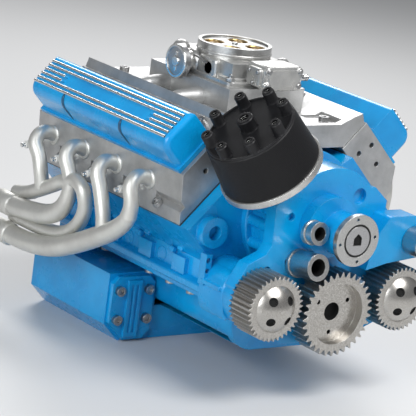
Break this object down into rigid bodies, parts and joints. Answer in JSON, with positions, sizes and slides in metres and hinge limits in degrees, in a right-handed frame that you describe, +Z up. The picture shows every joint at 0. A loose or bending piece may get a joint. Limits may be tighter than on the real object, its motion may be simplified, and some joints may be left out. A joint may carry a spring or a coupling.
{
  "type": "complete v8 engine",
  "caption": "Complete V8 engine with moving crank train, camshaft, distributor, carburettor, headers, sump and a geared front drive.",
  "frame": {"origin": "centre of the clutch bolt circle on the flywheel's rear face, on the crankshaft axis", "axes": "+Y along the crankshaft towards the rear, +Z up, +X towards the right bank as seen from the front"},
  "size_m": [0.1422, 0.1693, 0.1322],
  "materials": {
    "blue_paint": "gloss",
    "satin_aluminium": "satin",
    "satin_steel": "satin",
    "nickel_steel": "polished",
    "black_plastic": "matt",
    "black_rubber": "matt",
    "gasket_sheet": "matt",
    "brass": "satin"
  },
  "bodies": {
    "engine": {"engine_block": "blue_paint", "valve_cover_left": "blue_paint", "valve_cover_right": "blue_paint", "timing_cover": "blue_paint", "accessory_bracket": "blue_paint", "water_pump_housing": "blue_paint", "oil_pan": "blue_paint", "sump_covers": "blue_paint", "cylinder_head_left": "satin_aluminium", "cylinder_head_right": "satin_aluminium", "intake_manifold": "satin_aluminium", "carburettor_body": "satin_aluminium", "air_horn": "satin_aluminium", "float_bowl": "satin_aluminium", "distributor_housing": "satin_aluminium", "hose_pipes": "satin_aluminium", "exhaust_header_left": "satin_steel", "exhaust_header_right": "satin_steel", "main_bearing_caps": "satin_steel", "oil_pump": "satin_steel", "water_pump_ring": "satin_steel", "spark_plugs": "satin_steel", "rocker_shafts": "satin_steel", "rocker_arms": "satin_steel", "cap_screws": "satin_steel", "pushrods": "satin_steel", "valve_lifters": "satin_steel", "valves": "satin_steel", "valve_springs": "satin_steel", "distributor_cap": "black_plastic", "water_pump_seal": "black_rubber", "head_gaskets": "gasket_sheet", "pan_gasket": "gasket_sheet", "main_bearing_shells": "brass"},
    "crankshaft": {"crankshaft": "satin_steel", "flywheel": "satin_steel", "flywheel_bolts": "satin_steel", "crank_gear": "nickel_steel", "crank_timing_gear": "nickel_steel"},
    "camshaft": {"camshaft": "satin_steel", "cam_timing_gear": "nickel_steel", "water_pump_rotor": "nickel_steel"},
    "distributor": {"distributor_shaft": "nickel_steel", "rotor_arm": "black_plastic"},
    "piston_1": {"piston_and_rod_1": "satin_aluminium"},
    "piston_2": {"piston_and_rod_2": "satin_aluminium"},
    "piston_3": {"piston_and_rod_3": "satin_aluminium"},
    "piston_4": {"piston_and_rod_4": "satin_aluminium"},
    "piston_5": {"piston_and_rod_5": "satin_aluminium"},
    "piston_6": {"piston_and_rod_6": "satin_aluminium"},
    "piston_7": {"piston_and_rod_7": "satin_aluminium"},
    "piston_8": {"piston_and_rod_8": "satin_aluminium"},
    "wheel_left": {"toothed_wheel_left": "nickel_steel", "wheel_hub_left": "nickel_steel"},
    "wheel_right": {"toothed_wheel_right": "nickel_steel", "wheel_hub_right": "nickel_steel"},
    "roller": {"idler_roller": "satin_steel"},
    "primary_throttle": {"primary_throttle": "satin_steel"},
    "secondary_throttle": {"secondary_throttle": "satin_steel"}
  },
  "joints": [
    {"name": "crank_spin", "type": "hinge", "parent": "engine", "child": "crankshaft", "pos_m": [0, -0.004, 0], "axis": [0, 1, 0], "continuous": true},
    {"name": "cam_spin", "type": "hinge", "parent": "engine", "child": "camshaft", "pos_m": [0, -0.1, 0.033], "axis": [0, 1, 0], "continuous": true},
    {"name": "distributor_spin", "type": "hinge", "parent": "engine", "child": "distributor", "pos_m": [-0.00606, -0.1446, 0.02809], "axis": [-0.6293, 0, 0.7771], "continuous": true},
    {"name": "piston_slide_1", "type": "slide", "parent": "engine", "child": "piston_1", "axis": [-0.7071, 0, 0.7071], "range_m": [-0.0175, 0]},
    {"name": "piston_slide_2", "type": "slide", "parent": "engine", "child": "piston_2", "axis": [0.7071, 0, 0.7071], "range_m": [-0.00779, 0.00971]},
    {"name": "piston_slide_3", "type": "slide", "parent": "engine", "child": "piston_3", "axis": [-0.7071, 0, 0.7071], "range_m": [-0.00779, 0.00971]},
    {"name": "piston_slide_4", "type": "slide", "parent": "engine", "child": "piston_4", "axis": [0.7071, 0, 0.7071], "range_m": [-0.0175, 0]},
    {"name": "piston_slide_5", "type": "slide", "parent": "engine", "child": "piston_5", "axis": [-0.7071, 0, 0.7071], "range_m": [-0.00779, 0.00971]},
    {"name": "piston_slide_6", "type": "slide", "parent": "engine", "child": "piston_6", "axis": [0.7071, 0, 0.7071], "range_m": [0, 0.0175]},
    {"name": "piston_slide_7", "type": "slide", "parent": "engine", "child": "piston_7", "axis": [-0.7071, 0, 0.7071], "range_m": [0, 0.0175]},
    {"name": "piston_slide_8", "type": "slide", "parent": "engine", "child": "piston_8", "axis": [0.7071, 0, 0.7071], "range_m": [-0.00779, 0.00971]},
    {"name": "wheel_spin_left", "type": "hinge", "parent": "engine", "child": "wheel_left", "pos_m": [-0.0334, -0.15, 0.0045], "axis": [0, 1, 0], "continuous": true},
    {"name": "wheel_spin_right", "type": "hinge", "parent": "engine", "child": "wheel_right", "pos_m": [0.0334, -0.15, 0.0045], "axis": [0, 1, 0], "continuous": true},
    {"name": "roller_spin", "type": "hinge", "parent": "engine", "child": "roller", "pos_m": [0.038, -0.16, 0.029], "axis": [0, 1, 0], "continuous": true},
    {"name": "throttle_turn", "type": "hinge", "parent": "engine", "child": "primary_throttle", "pos_m": [0, -0.0651, 0.0838], "axis": [1, 0, 0], "range_deg": [0, 75]},
    {"name": "secondary_throttle_turn", "type": "hinge", "parent": "engine", "child": "secondary_throttle", "pos_m": [0, -0.0779, 0.0838], "axis": [1, 0, 0], "range_deg": [0, 75]}
  ],
  "couplings": [
    {"joint": "cam_spin", "follows": "crank_spin", "ratio": -0.5},
    {"joint": "distributor_spin", "follows": "crank_spin", "ratio": -0.5},
    {"joint": "secondary_throttle_turn", "follows": "throttle_turn", "ratio": 1}
  ]
}
